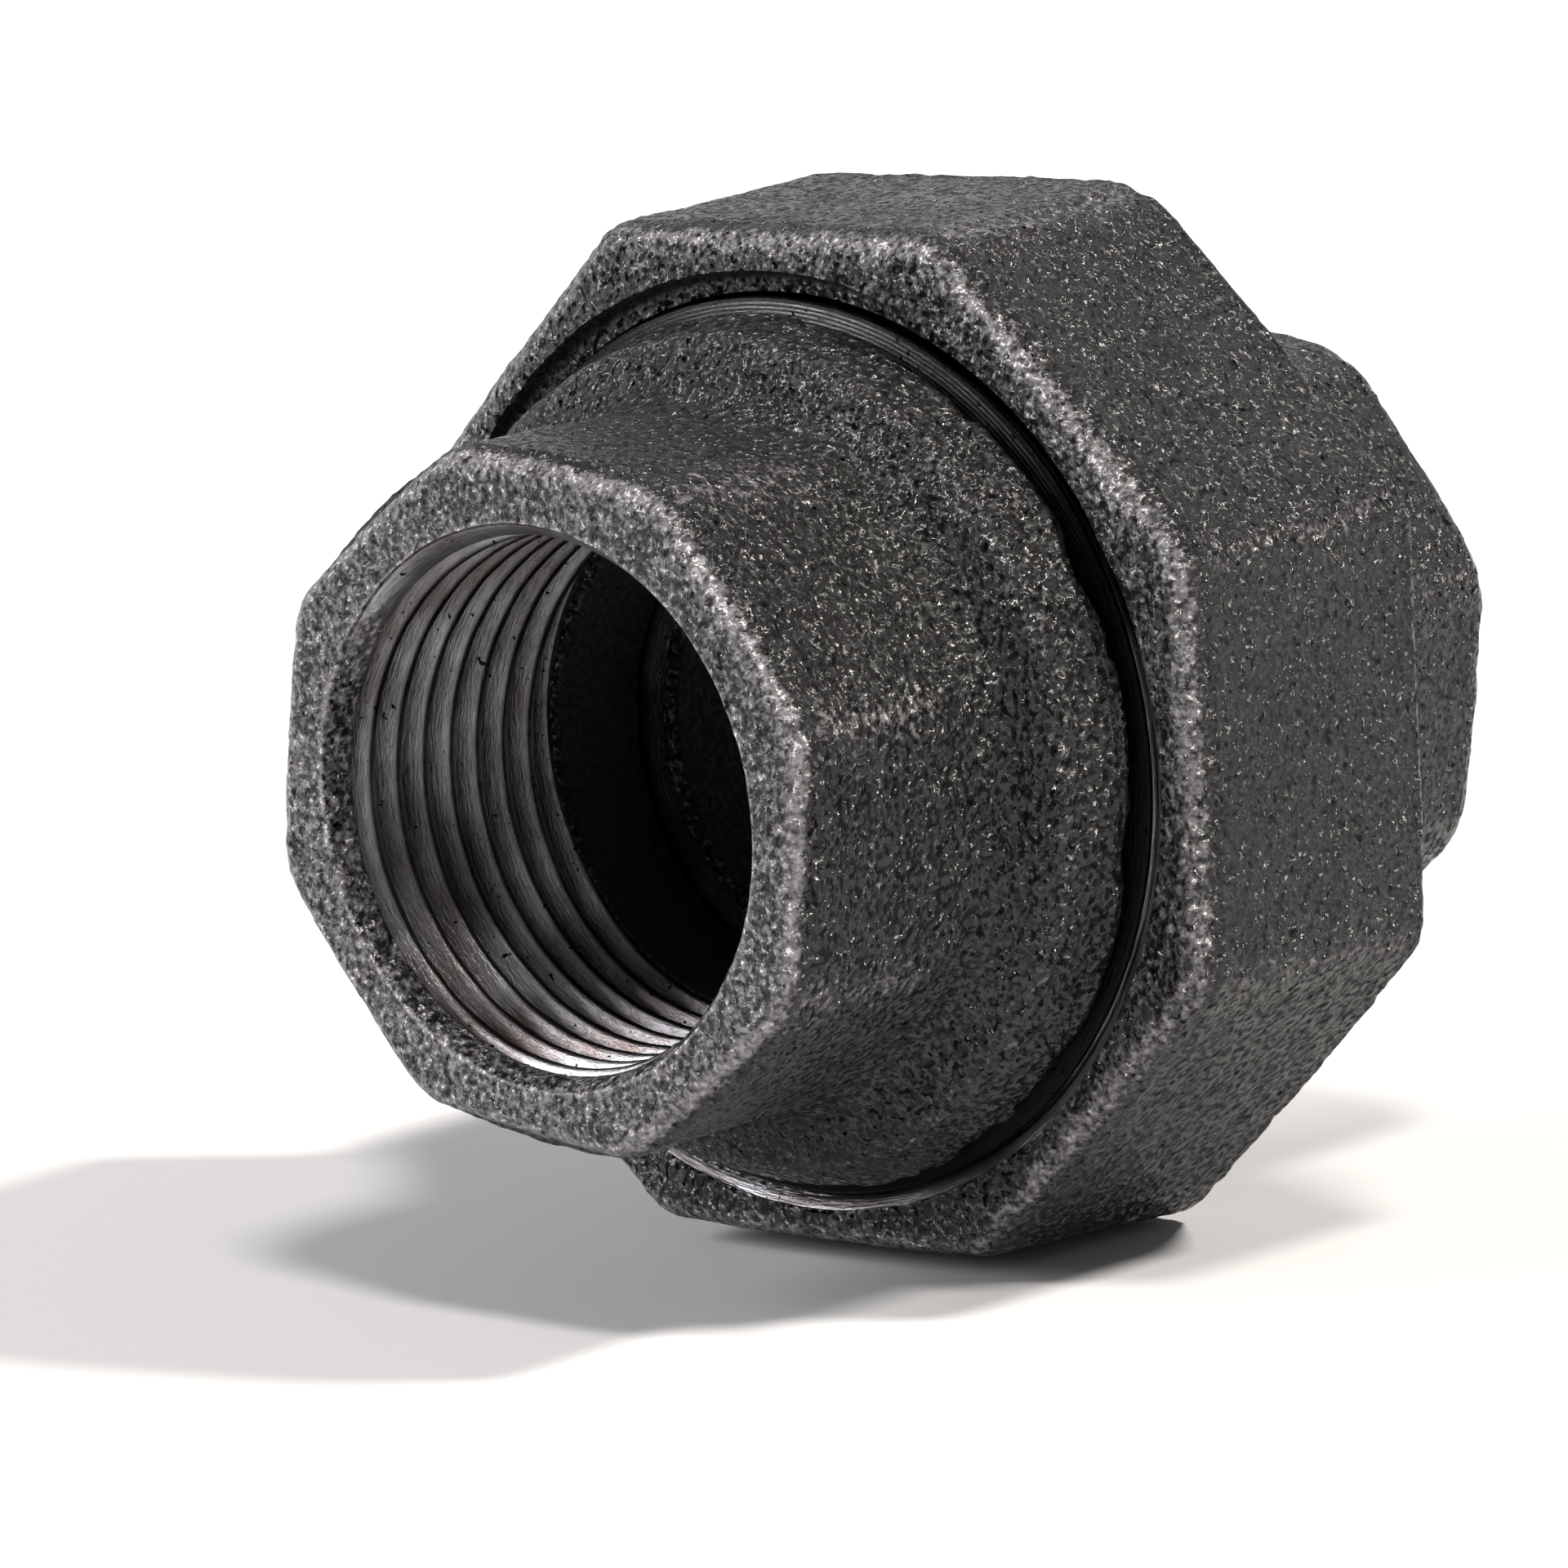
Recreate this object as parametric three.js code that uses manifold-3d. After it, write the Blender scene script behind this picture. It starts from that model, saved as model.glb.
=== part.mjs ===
// A malleable-iron pipe union: a head and a tail that each screw onto a pipe, drawn
// together by an eight-sided nut. The pipe axis is X, the head's mouth faces +X, and
// the origin is the middle of the union on that axis. Millimetres, +Z up.
import * as THREE from "three";
import { LoftGeometry } from "three/addons/geometries/LoftGeometry.js";
import { mergeVertices } from "three/addons/utils/BufferGeometryUtils.js";
import Module from "manifold-3d";

const wasm = await Module();
wasm.setup();

// ---- driving dimensions ---------------------------------------------------------

const FACETS = 32; // straight sides in one turn of every round surface
const OVERRUN = 1; // how far cutters run past the faces they cut through
const SINK = 0.2; // how deep the foot of a screw ridge is sunk into what it joins

// The union as a whole, mouth to mouth.
const LENGTH = 52;
const HEAD_FACE = LENGTH / 2;
const TAIL_FACE = -LENGTH / 2;

// The 3/4 inch pipe thread in both mouths: radii of its crests and roots.
const PIPE_PITCH = 1.814;
const PIPE_CREST = 12.06;
const PIPE_ROOT = 13.1;
const PIPE_ROOT_FLAT = 0.29;
const PIPE_DEPTH = 15;
const PIPE_RUN_OUT = 0.4; // plain length left between the last turn and the bore
const PIPE_COUNTERSINK = PIPE_ROOT - PIPE_CREST;

// The screw between head and nut, 1 1/4 inch parallel. Crests clear the facing roots.
const JOINT_PITCH = 2.309;
const MALE_CREST = 20.75;
const MALE_ROOT = 19.35;
const FEMALE_CREST = 19.8;
const FEMALE_ROOT = 21.1;
const JOINT_CREST_FLAT = 0.42;
const JOINT_LEAD_IN = 1; // the chamfer on the first turn of the head's thread
const JOINT_DEPTH = MALE_CREST - MALE_ROOT;
const FLANK_SLOPE = Math.tan(THREE.MathUtils.degToRad(27.5));

// The eight-sided ends that a pipe wrench grips.
const END_ACROSS_FLATS = 31;
const END_CORNER = 6;
const END_BEVEL = 0.8;
const HEAD_TURN = THREE.MathUtils.degToRad(-7.9);
const TAIL_TURN = THREE.MathUtils.degToRad(-8.6);

// The head: bell shoulder, threaded barrel, and the hollow cone that the tail seats in.
const HEAD_FLATS_END = 12.5;
const HEAD_CORE_END = 18.5; // the round core stops here, inside the octagon
const HEAD_CORE_RADIUS = 14.5;
const BELL_START_X = 17.5;
const BELL_START_RADIUS = 15.4;
const BELL_BEND_X = 12.6; // the bell turns outwards about this place
const BELL_BEND_INNER = 15.2;
const BELL_BEND_OUTER = 19.4;
const SHOULDER_X = 8.65;
const SHOULDER_RADIUS = 20.3;
const RELIEF_X = SHOULDER_X - 1;
const BARREL_END = 0.8;
const HEAD_BORE = 11.9;
const SEAT_MOUTH = 16.2;
const SEAT_BOTTOM = BARREL_END + SEAT_MOUTH - HEAD_BORE;

// The tail: a nose for the cone, a collar for the nut to pull on, and a round neck.
const SEAT_GAP = 0.3;
const NOSE_X = 4.1;
const NOSE_BORE = 10.6;
const COLLAR_FRONT = 0.3;
const COLLAR_BACK = -3.5;
const COLLAR_RADIUS = 19.4;
const NECK_RADIUS = 16.1;
const NECK_END = -9.5;
const NECK_FOOT = -13; // the neck has shrunk into the octagon by here
const NECK_FOOT_RADIUS = 14.5;
const TAIL_FLATS_END = -8;
const BORE_STEP = 1.4; // length of the taper between the thread and the narrower bore

// The nut.
const NUT_ACROSS_FLATS = 48.4;
const NUT_CORNER = 4.5;
const NUT_BEVEL = 0.8;
const NUT_MOUTH = 8.3;
const NUT_BACK = -7.7;
const NUT_COUNTERSINK = 21.8;
const NUT_THREAD_END = 0.6;
const NUT_RELIEF = 21.2;
const LIP_FACE = -3.8;
const LIP_BORE = 16.9;

// ---- solids -----------------------------------------------------------------------

function solid(geometry) {
  const bare = geometry.index ? geometry.toNonIndexed() : geometry.clone();
  bare.deleteAttribute("normal");
  bare.deleteAttribute("uv");
  const merged = mergeVertices(bare, 1e-4);
  return new wasm.Manifold(
    new wasm.Mesh({
      numProp: 3,
      vertProperties: merged.attributes.position.array,
      triVerts: new Uint32Array(merged.index.array),
    }),
  );
}

// A body of revolution about X. Each point of the outline is [x, radius].
function turned(outline) {
  const points = outline.map(([x, radius]) => new THREE.Vector2(radius, x));
  const geometry = new THREE.LatheGeometry(points, FACETS);
  geometry.rotateZ(-Math.PI / 2);
  return solid(geometry);
}

function cylinder(fromX, toX, radius) {
  return turned([[fromX, 0], [fromX, radius], [toX, radius], [toX, 0]]);
}

// The corner-rounded octagon of an end or the nut, as a shape in the YZ plane.
function octagon(acrossFlats, cornerRadius) {
  const shape = new THREE.Shape();
  const inner = acrossFlats / 2 - cornerRadius;
  const cornerDistance = inner / Math.cos(Math.PI / 8);
  for (let corner = 0; corner < 8; corner += 1) {
    const angle = (corner + 0.5) * (Math.PI / 4);
    const x = cornerDistance * Math.cos(angle);
    const y = cornerDistance * Math.sin(angle);
    shape.absarc(x, y, cornerRadius, angle - Math.PI / 8, angle + Math.PI / 8);
  }
  return shape;
}

// An eight-sided bar along X with its end edges bevelled.
function octagonBar(fromX, toX, acrossFlats, cornerRadius, bevel) {
  const shape = octagon(acrossFlats - 2 * bevel, cornerRadius - bevel);
  const geometry = new THREE.ExtrudeGeometry(shape, {
    depth: toX - fromX - 2 * bevel,
    bevelThickness: bevel,
    bevelSize: bevel,
    bevelSegments: 1,
    curveSegments: 2,
  });
  geometry.translate(0, 0, fromX + bevel);
  geometry.rotateY(Math.PI / 2);
  return solid(geometry);
}

// One screw ridge about X: a trapezium carried along a right-hand helix. The ridge is
// rootWidth wide at rootRadius and crestWidth wide at crestRadius, and its middle
// passes through (startX, 0, radius) and every whole pitch from there.
function screwRidge({ pitch, startX, endX, rootRadius, rootWidth, crestRadius, crestWidth }) {
  const trapezium = [
    [rootWidth / 2, rootRadius],
    [crestWidth / 2, crestRadius],
    [-crestWidth / 2, crestRadius],
    [-rootWidth / 2, rootRadius],
  ];
  const steps = Math.ceil(((endX - startX) / pitch) * FACETS);
  const sections = [];
  for (let step = 0; step <= steps; step += 1) {
    const turn = step / FACETS;
    const angle = turn * 2 * Math.PI;
    const middle = startX + turn * pitch;
    const section = trapezium.map(([offset, radius]) => new THREE.Vector3(
      middle + offset,
      -radius * Math.sin(angle),
      radius * Math.cos(angle),
    ));
    sections.push(section);
  }
  return solid(new LoftGeometry(sections, { capStart: true, capEnd: true }));
}

// The groove that leaves the pipe thread standing in a mouth, cut from x to x.
function pipeGroove(fromX, toX) {
  const depth = PIPE_ROOT - PIPE_CREST + SINK;
  return screwRidge({
    pitch: PIPE_PITCH,
    startX: fromX,
    endX: toX,
    rootRadius: PIPE_ROOT - depth,
    rootWidth: PIPE_ROOT_FLAT + 2 * depth * FLANK_SLOPE,
    crestRadius: PIPE_ROOT,
    crestWidth: PIPE_ROOT_FLAT,
  });
}

function asMesh(name, manifold, material) {
  const { vertProperties, triVerts } = manifold.getMesh();
  const geometry = new THREE.BufferGeometry();
  geometry.setAttribute("position", new THREE.BufferAttribute(vertProperties, 3));
  geometry.setIndex(new THREE.BufferAttribute(triVerts, 1));
  geometry.computeVertexNormals();
  const mesh = new THREE.Mesh(geometry, material);
  mesh.name = name;
  return mesh;
}

function turnedAboutX(manifold, angle) {
  return manifold.rotate([THREE.MathUtils.radToDeg(angle), 0, 0]);
}

// ---- the head -----------------------------------------------------------------------

// The bell from the octagon out to the shoulder: hollow at the neck, domed at the rim.
function bellOutline() {
  const curve = new THREE.CubicBezierCurve(
    new THREE.Vector2(BELL_START_X, BELL_START_RADIUS),
    new THREE.Vector2(BELL_BEND_X, BELL_BEND_INNER),
    new THREE.Vector2(BELL_BEND_X, BELL_BEND_OUTER),
    new THREE.Vector2(SHOULDER_X, SHOULDER_RADIUS),
  );
  const steps = 8;
  return curve.getPoints(steps).map((point) => [point.x, point.y]);
}

function headBody() {
  return turned([
    [HEAD_CORE_END, 0],
    [HEAD_CORE_END, HEAD_CORE_RADIUS],
    ...bellOutline(),
    [SHOULDER_X, MALE_CREST],
    [RELIEF_X, MALE_CREST],
    [RELIEF_X, MALE_ROOT],
    [BARREL_END, MALE_ROOT],
    [BARREL_END, 0],
  ].reverse());
}

function headThread() {
  const ridge = screwRidge({
    pitch: JOINT_PITCH,
    startX: BARREL_END - JOINT_PITCH,
    endX: SHOULDER_X - SINK,
    rootRadius: MALE_ROOT - SINK,
    rootWidth: JOINT_CREST_FLAT + 2 * (JOINT_DEPTH + SINK) * FLANK_SLOPE,
    crestRadius: MALE_CREST,
    crestWidth: JOINT_CREST_FLAT,
  });
  const sleeve = turned([
    [BARREL_END, 0],
    [BARREL_END, MALE_CREST - JOINT_LEAD_IN],
    [BARREL_END + JOINT_LEAD_IN, MALE_CREST + SINK],
    [SHOULDER_X - SINK, MALE_CREST + SINK],
    [SHOULDER_X - SINK, 0],
  ]);
  return ridge.intersect(sleeve);
}

function headBore() {
  return turned([
    [HEAD_FACE + OVERRUN, 0],
    [HEAD_FACE + OVERRUN, PIPE_ROOT + OVERRUN],
    [HEAD_FACE - PIPE_COUNTERSINK, PIPE_CREST],
    [HEAD_FACE - PIPE_DEPTH, PIPE_CREST],
    [HEAD_FACE - PIPE_DEPTH - PIPE_RUN_OUT, HEAD_BORE],
    [SEAT_BOTTOM, HEAD_BORE],
    [BARREL_END - OVERRUN, SEAT_MOUTH + OVERRUN],
    [BARREL_END - OVERRUN, 0],
  ].reverse());
}

function makeHead() {
  const bar = octagonBar(
    HEAD_FLATS_END,
    HEAD_FACE,
    END_ACROSS_FLATS,
    END_CORNER,
    END_BEVEL,
  );
  const grooveStart = HEAD_FACE - PIPE_DEPTH + PIPE_RUN_OUT;
  return turnedAboutX(bar, HEAD_TURN)
    .add(headBody())
    .add(headThread())
    .subtract(headBore())
    .subtract(pipeGroove(grooveStart, HEAD_FACE + OVERRUN));
}

// ---- the tail -----------------------------------------------------------------------

// The tail's outside, from its nose, past the collar, to the neck.
function tailBody() {
  const coneGap = SEAT_GAP * Math.SQRT2;
  const noseRadius = SEAT_MOUTH - (NOSE_X - BARREL_END) - coneGap;
  const noseFoot = noseRadius + NOSE_X - COLLAR_FRONT;
  return turned([
    [NOSE_X, 0],
    [NOSE_X, noseRadius],
    [COLLAR_FRONT, noseFoot],
    [COLLAR_FRONT, COLLAR_RADIUS],
    [COLLAR_BACK, COLLAR_RADIUS],
    [COLLAR_BACK, NECK_RADIUS],
    [NECK_END, NECK_RADIUS],
    [NECK_FOOT, NECK_FOOT_RADIUS],
    [NECK_FOOT, 0],
  ].reverse());
}

function tailBore() {
  return turned([
    [NOSE_X + OVERRUN, 0],
    [NOSE_X + OVERRUN, NOSE_BORE],
    [TAIL_FACE + PIPE_DEPTH + BORE_STEP, NOSE_BORE],
    [TAIL_FACE + PIPE_DEPTH, PIPE_CREST],
    [TAIL_FACE + PIPE_COUNTERSINK, PIPE_CREST],
    [TAIL_FACE - OVERRUN, PIPE_ROOT + OVERRUN],
    [TAIL_FACE - OVERRUN, 0],
  ].reverse());
}

function makeTail() {
  const bar = octagonBar(
    TAIL_FACE,
    TAIL_FLATS_END,
    END_ACROSS_FLATS,
    END_CORNER,
    END_BEVEL,
  );
  const grooveEnd = TAIL_FACE + PIPE_DEPTH - PIPE_RUN_OUT;
  return turnedAboutX(bar, TAIL_TURN)
    .add(tailBody())
    .subtract(tailBore())
    .subtract(pipeGroove(TAIL_FACE - OVERRUN, grooveEnd));
}

// ---- the nut ------------------------------------------------------------------------

function nutBore() {
  const countersink = NUT_COUNTERSINK - FEMALE_CREST;
  return turned([
    [NUT_MOUTH + OVERRUN, 0],
    [NUT_MOUTH + OVERRUN, NUT_COUNTERSINK + OVERRUN],
    [NUT_MOUTH - countersink, FEMALE_CREST],
    [NUT_THREAD_END, FEMALE_CREST],
    [NUT_THREAD_END, NUT_RELIEF],
    [LIP_FACE, NUT_RELIEF],
    [LIP_FACE, LIP_BORE],
    [NUT_BACK - OVERRUN, LIP_BORE],
    [NUT_BACK - OVERRUN, 0],
  ].reverse());
}

// The nut's groove is half a pitch from the head's ridge on the same helix start, so
// the ridge left between two of its turns stands midway in the head's own groove.
function nutGroove() {
  const depth = FEMALE_ROOT - FEMALE_CREST;
  const openAtCrest = JOINT_PITCH - JOINT_CREST_FLAT;
  return screwRidge({
    pitch: JOINT_PITCH,
    startX: BARREL_END - JOINT_PITCH,
    endX: NUT_MOUTH + JOINT_PITCH,
    rootRadius: FEMALE_CREST - SINK,
    rootWidth: openAtCrest + 2 * SINK * FLANK_SLOPE,
    crestRadius: FEMALE_ROOT,
    crestWidth: openAtCrest - 2 * depth * FLANK_SLOPE,
  });
}

function makeNut() {
  return octagonBar(NUT_BACK, NUT_MOUTH, NUT_ACROSS_FLATS, NUT_CORNER, NUT_BEVEL)
    .subtract(nutBore())
    .subtract(nutGroove());
}

// ---- the union ------------------------------------------------------------------------

const castIron = new THREE.MeshStandardMaterial({
  color: 0x3a3a3c,
  roughness: 0.62,
  metalness: 0.75,
});

const union = new THREE.Group();
union.add(asMesh("head", makeHead(), castIron.clone()));
union.add(asMesh("tail", makeTail(), castIron.clone()));
union.add(asMesh("nut", makeNut(), castIron.clone()));

export default union;
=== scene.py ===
"""A black malleable-iron pipe union: head, tail and union nut, cast in sand and turned.

Each piece is one closed skin. Its outline is a loop of strips, and a strip is a grid of
points: rows along the outline, columns round the pipe axis, which is X.
"""
import itertools
import math

import bpy
import numpy as np
from mathutils import Matrix, Vector


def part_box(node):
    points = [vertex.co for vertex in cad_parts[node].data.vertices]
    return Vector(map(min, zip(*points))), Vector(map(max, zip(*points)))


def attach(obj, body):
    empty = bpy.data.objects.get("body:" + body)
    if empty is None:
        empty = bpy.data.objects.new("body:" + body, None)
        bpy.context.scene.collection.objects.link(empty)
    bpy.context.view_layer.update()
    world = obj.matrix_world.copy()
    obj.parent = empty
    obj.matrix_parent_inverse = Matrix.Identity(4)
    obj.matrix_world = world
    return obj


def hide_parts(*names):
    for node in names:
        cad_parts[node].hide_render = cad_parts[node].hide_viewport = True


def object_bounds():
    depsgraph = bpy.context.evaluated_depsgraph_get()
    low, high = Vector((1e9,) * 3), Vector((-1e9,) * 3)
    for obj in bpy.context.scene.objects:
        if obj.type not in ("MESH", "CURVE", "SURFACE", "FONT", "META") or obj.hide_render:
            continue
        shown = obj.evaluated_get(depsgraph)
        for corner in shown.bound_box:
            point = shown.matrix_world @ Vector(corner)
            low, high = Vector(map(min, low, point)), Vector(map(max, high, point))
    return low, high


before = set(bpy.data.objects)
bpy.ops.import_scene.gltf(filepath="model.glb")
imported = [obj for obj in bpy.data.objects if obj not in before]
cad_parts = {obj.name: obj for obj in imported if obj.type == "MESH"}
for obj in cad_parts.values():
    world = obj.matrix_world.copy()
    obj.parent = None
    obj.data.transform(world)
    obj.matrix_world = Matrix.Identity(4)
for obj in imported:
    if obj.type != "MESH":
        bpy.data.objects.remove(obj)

MM = 0.001
cad_low, cad_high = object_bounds()

# ---- sizes, in millimetres ----------------------------------------------------------


def cad_extent(node):
    low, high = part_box(node)
    return low / MM, high / MM


head_low, head_high = cad_extent("head")
tail_low, tail_high = cad_extent("tail")
nut_low, nut_high = cad_extent("nut")

HEAD_FACE = head_high.x
BARREL_END = head_low.x
MALE_CREST = head_high.y
TAIL_FACE = tail_low.x
NOSE_X = tail_high.x
COLLAR_RADIUS = tail_high.y
NUT_BACK = nut_low.x
NUT_MOUTH = nut_high.x
NUT_ACROSS_FLATS = 2 * nut_high.y

PIPE_PITCH = 1.814
PIPE_CREST = 12.06
PIPE_ROOT = 13.1
PIPE_DEPTH = 15.0
PIPE_ROOT_FLAT = 0.4
MOUTH_RADIUS = PIPE_CREST + 0.8  # the inner edge of the end faces

PIPE_START = HEAD_FACE - 2.2  # where the first groove of the pipe thread lies, on top
FUNNEL_DEPTH = 1.5
FUNNEL_STEP = 0.2  # how far the funnel's foot stands outside the thread's crests
FUNNEL_FLARE = 2.2  # above 1, the funnel opens mostly near the face
FACE_ROUND = 1.1
TAIL_FACE_ROUND = 1.5
DEEP_SHADE = -0.6  # painted shade: the wear value that paints a surface near black where the light hardly reaches

JOINT_PITCH = 2.309
MALE_ROOT = 19.35
FEMALE_CREST = 19.8
FEMALE_ROOT = 21.1
JOINT_START = BARREL_END - JOINT_PITCH
CREST_FLAT = 0.42
FLANK_SLOPE = math.tan(math.radians(27.5))
FLANK_ROUNDING = 0.15  # 0 for straight flanks, 1 for S-shaped ones

HEAD_ACROSS_FLATS = 31.0
HEAD_CORNER = 3.6
HEAD_CROWN = 0.013
HEAD_TURN = math.radians(-7.9)
TAIL_ACROSS_FLATS = 31.9
TAIL_CORNER = 5.0
TAIL_CROWN = 0.010
TAIL_TURN = math.radians(-8.6)

SHOULDER_X = 8.65
SHOULDER_RADIUS = 20.3
BELL_CREASE_X = 11.9
BELL_CREASE_RADIUS = 19.4
BELL_FLARE = [(17.0, 15.0), (12.2, 15.1), (13.1, 18.1)]  # its (x, radius) control points
BELL_BLEND = 2.0  # how softly the flats run into the bell
BITE_DEPTH = 0.5  # how deep the casting is torn at its edge, seen from outside
TORN_DEPTH = 0.55  # and at the back of that edge
BITE_REACH = 0.9  # how far the bites reach from the edge
SWELL_REACH = 3.0
OFFSET_REACH = 6.0  # how far the sides take to drift from the shoulder's offset
RUBBED_CORNERS_X = 14.0  # where the head's rubbed corners fade out towards the bell
SHOULDER_SWELL = 0.42  # how much further out the shoulder reaches on its low +Y side
SWELL_ANGLE = math.radians(243.0)
RELIEF_X = SHOULDER_X - 1.0
RING_RADIUS = 20.95
HEAD_BORE = 11.9
SEAT_MOUTH = 16.2

SEAT_GAP = 0.3
NOSE_BORE = 10.6
COLLAR_FRONT = 0.3
COLLAR_BACK = -3.5
NECK_RADIUS = 16.1
NECK_X = -12.0  # where the tail's octagon begins to turn into its round neck
NECK_BLEND = 4.0

NUT_CORNER = 2.4
NUT_CROWN = 0.007
NUT_HOLE = 21.75
NUT_TURNED = 21.35
NUT_RELIEF = 21.2
LIP_FACE = -3.8
LIP_BORE = 16.9
RELIEF_END = 0.4

HEAD_COLUMNS = 640  # points round the axis
TAIL_COLUMNS = 512
NUT_COLUMNS = 800

# how far each sand-cast shape sits off the pipe axis, as (y, z)
HEAD_OFFSET = (0.14, 0.31)
SHOULDER_OFFSET = (-0.03, 0.08)
MOUTH_OFFSET = (0.10, 0.09)
TAIL_OFFSET = (-0.49, 0.22)
NUT_OFFSET = (0.04, 0.35)
NUT_HOLE_OFFSET = (-0.24, 0.44)
ON_AXIS = (0.0, 0.0)

# ---- noise ---------------------------------------------------------------------------


def lattice_value(cell, seed):
    """A fixed random number from -1 to 1 for each whole-numbered cell."""
    x, y, z = (cell[..., axis].astype(np.uint64) for axis in range(3))
    key = x * np.uint64(73856093) ^ y * np.uint64(19349663) ^ z * np.uint64(83492791)
    key ^= np.uint64(seed * 2654435761)
    for _ in range(2):
        key ^= key >> np.uint64(15)
        key *= np.uint64(2246822519)
        key &= np.uint64(0xFFFFFFFF)
    return key.astype(float) / 0x7FFFFFFF - 1.0


def noise(points, size, seed):
    """Smooth noise from -1 to 1 at each point, its lumps about size millimetres across."""
    scaled = points / size + 1000.0
    cell = np.floor(scaled).astype(np.int64)
    inside = scaled - cell
    fade = inside * inside * (3.0 - 2.0 * inside)
    total = np.zeros(points.shape[:-1])
    for corner in itertools.product((0, 1), repeat=3):
        share = np.prod(np.where(corner, fade, 1.0 - fade), axis=-1)
        total += share * lattice_value(cell + corner, seed)
    return total


# ---- outlines ------------------------------------------------------------------------


def angles(columns):
    """Angles round X, from +Z towards -Y, the way a right-hand screw turns towards +X."""
    return np.linspace(0.0, 2.0 * math.pi, columns, endpoint=False)


def octagon_radius(theta, across_flats, corner, crown, turn):
    """How far from the axis an octagon lies in each direction. Its corners are rounded, and
    its sides are crowned: they fall away by that share of the radius at the corners."""
    eighth = math.pi / 4
    off_flat = np.abs((theta - turn + eighth / 2) % eighth - eighth / 2)
    inner = across_flats / 2 - corner
    flat = across_flats / 2 / np.cos(off_flat)
    centre = inner / math.cos(eighth / 2)
    off_corner = eighth / 2 - off_flat
    across = (centre * np.sin(off_corner)) ** 2
    rounded = centre * np.cos(off_corner) + np.sqrt(np.maximum(corner**2 - across, 0.0))
    on_flat = across_flats / 2 * np.tan(off_flat) <= inner * math.tan(eighth / 2)
    falling = 1.0 - crown * (off_flat / (eighth / 2)) ** 2
    return np.where(on_flat, flat, rounded) * falling


def corner_share(theta, turn, width):
    """1 on an octagon's corners, falling to 0 within width radians of them."""
    eighth = math.pi / 4
    off_corner = np.abs((theta - turn) % eighth - eighth / 2)
    return np.clip(1.0 - off_corner / width, 0.0, 1.0)


def smooth_max(a, b, blend):
    near = np.maximum(blend - np.abs(a - b), 0.0) / blend
    return np.maximum(a, b) + near * near * blend / 4


def line(start, end, step):
    """Evenly spaced (x, radius) rows from one point up to, but not at, the next."""
    count = max(1, round(math.dist(start, end) / step))
    share = np.arange(count)[:, None] / count
    rows = np.asarray(start) + share * (np.asarray(end) - np.asarray(start))
    return rows[:, 0], rows[:, 1]


def cubic(points, share):
    a, b, c, d = (np.asarray(point, float) for point in points)
    t = np.asarray(share, float)[:, None]
    return (1 - t) ** 3 * a + 3 * t * (1 - t) ** 2 * b + 3 * t * t * (1 - t) * c + t**3 * d


def drift(share, start, end):
    """The (y, z) offsets of rows that drift from one offset to another."""
    smooth = share * share * (3.0 - 2.0 * share)
    return [a + smooth * (b - a) for a, b in zip(start, end)]


class Skin:
    """The strips of one piece, gathered in order round its outline."""

    def __init__(self, columns):
        self.theta = angles(columns)
        self.parts = []

    def add(self, x, radius, cast=0.0, wear=0.0, centre=ON_AXIS):
        """x and radius are rows, or grids of rows by columns. cast is how rough the sand
        left the surface, wear how bright it is rubbed and painted lit, and, below 0, how deep
        it is painted in shade; centre its (y, z) offset."""
        x = np.atleast_1d(np.asarray(x, float))
        radius = np.asarray(radius, float)
        rows = max(x.shape[0], radius.shape[0])
        shape = (rows, self.theta.size)

        def grid(value):
            value = np.asarray(value, float)
            if value.ndim == 1 and value.size == rows and rows != self.theta.size:
                value = value[:, None]
            return np.broadcast_to(value, shape)

        theta = np.broadcast_to(self.theta, shape)
        radius = grid(radius)
        points = np.stack(
            [
                grid(x),
                grid(centre[0]) - radius * np.sin(theta),
                grid(centre[1]) + radius * np.cos(theta),
            ],
            axis=-1,
        )
        self.parts.append((points, grid(cast), grid(wear)))

    def grids(self):
        return [np.concatenate(group) for group in zip(*self.parts)]


def grid_normals(points):
    along = np.roll(points, -1, axis=0) - np.roll(points, 1, axis=0)
    round_axis = np.roll(points, -1, axis=1) - np.roll(points, 1, axis=1)
    normals = np.cross(along, round_axis)
    return normals / np.maximum(np.linalg.norm(normals, axis=-1, keepdims=True), 1e-9)


def sand_relief(points):
    """The height of a sand-cast skin, in millimetres, for a cast share of 1."""
    swell = 0.10 * noise(points, 5.0, 1)
    lumps = 0.05 * noise(points, 1.7, 2)
    grains = 0.045 * noise(points, 0.62, 3) + 0.03 * noise(points, 0.36, 4)
    pits = -0.10 * np.clip(noise(points, 0.9, 5) - 0.62, 0.0, 1.0) / 0.38
    return swell + lumps + grains + pits


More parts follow.
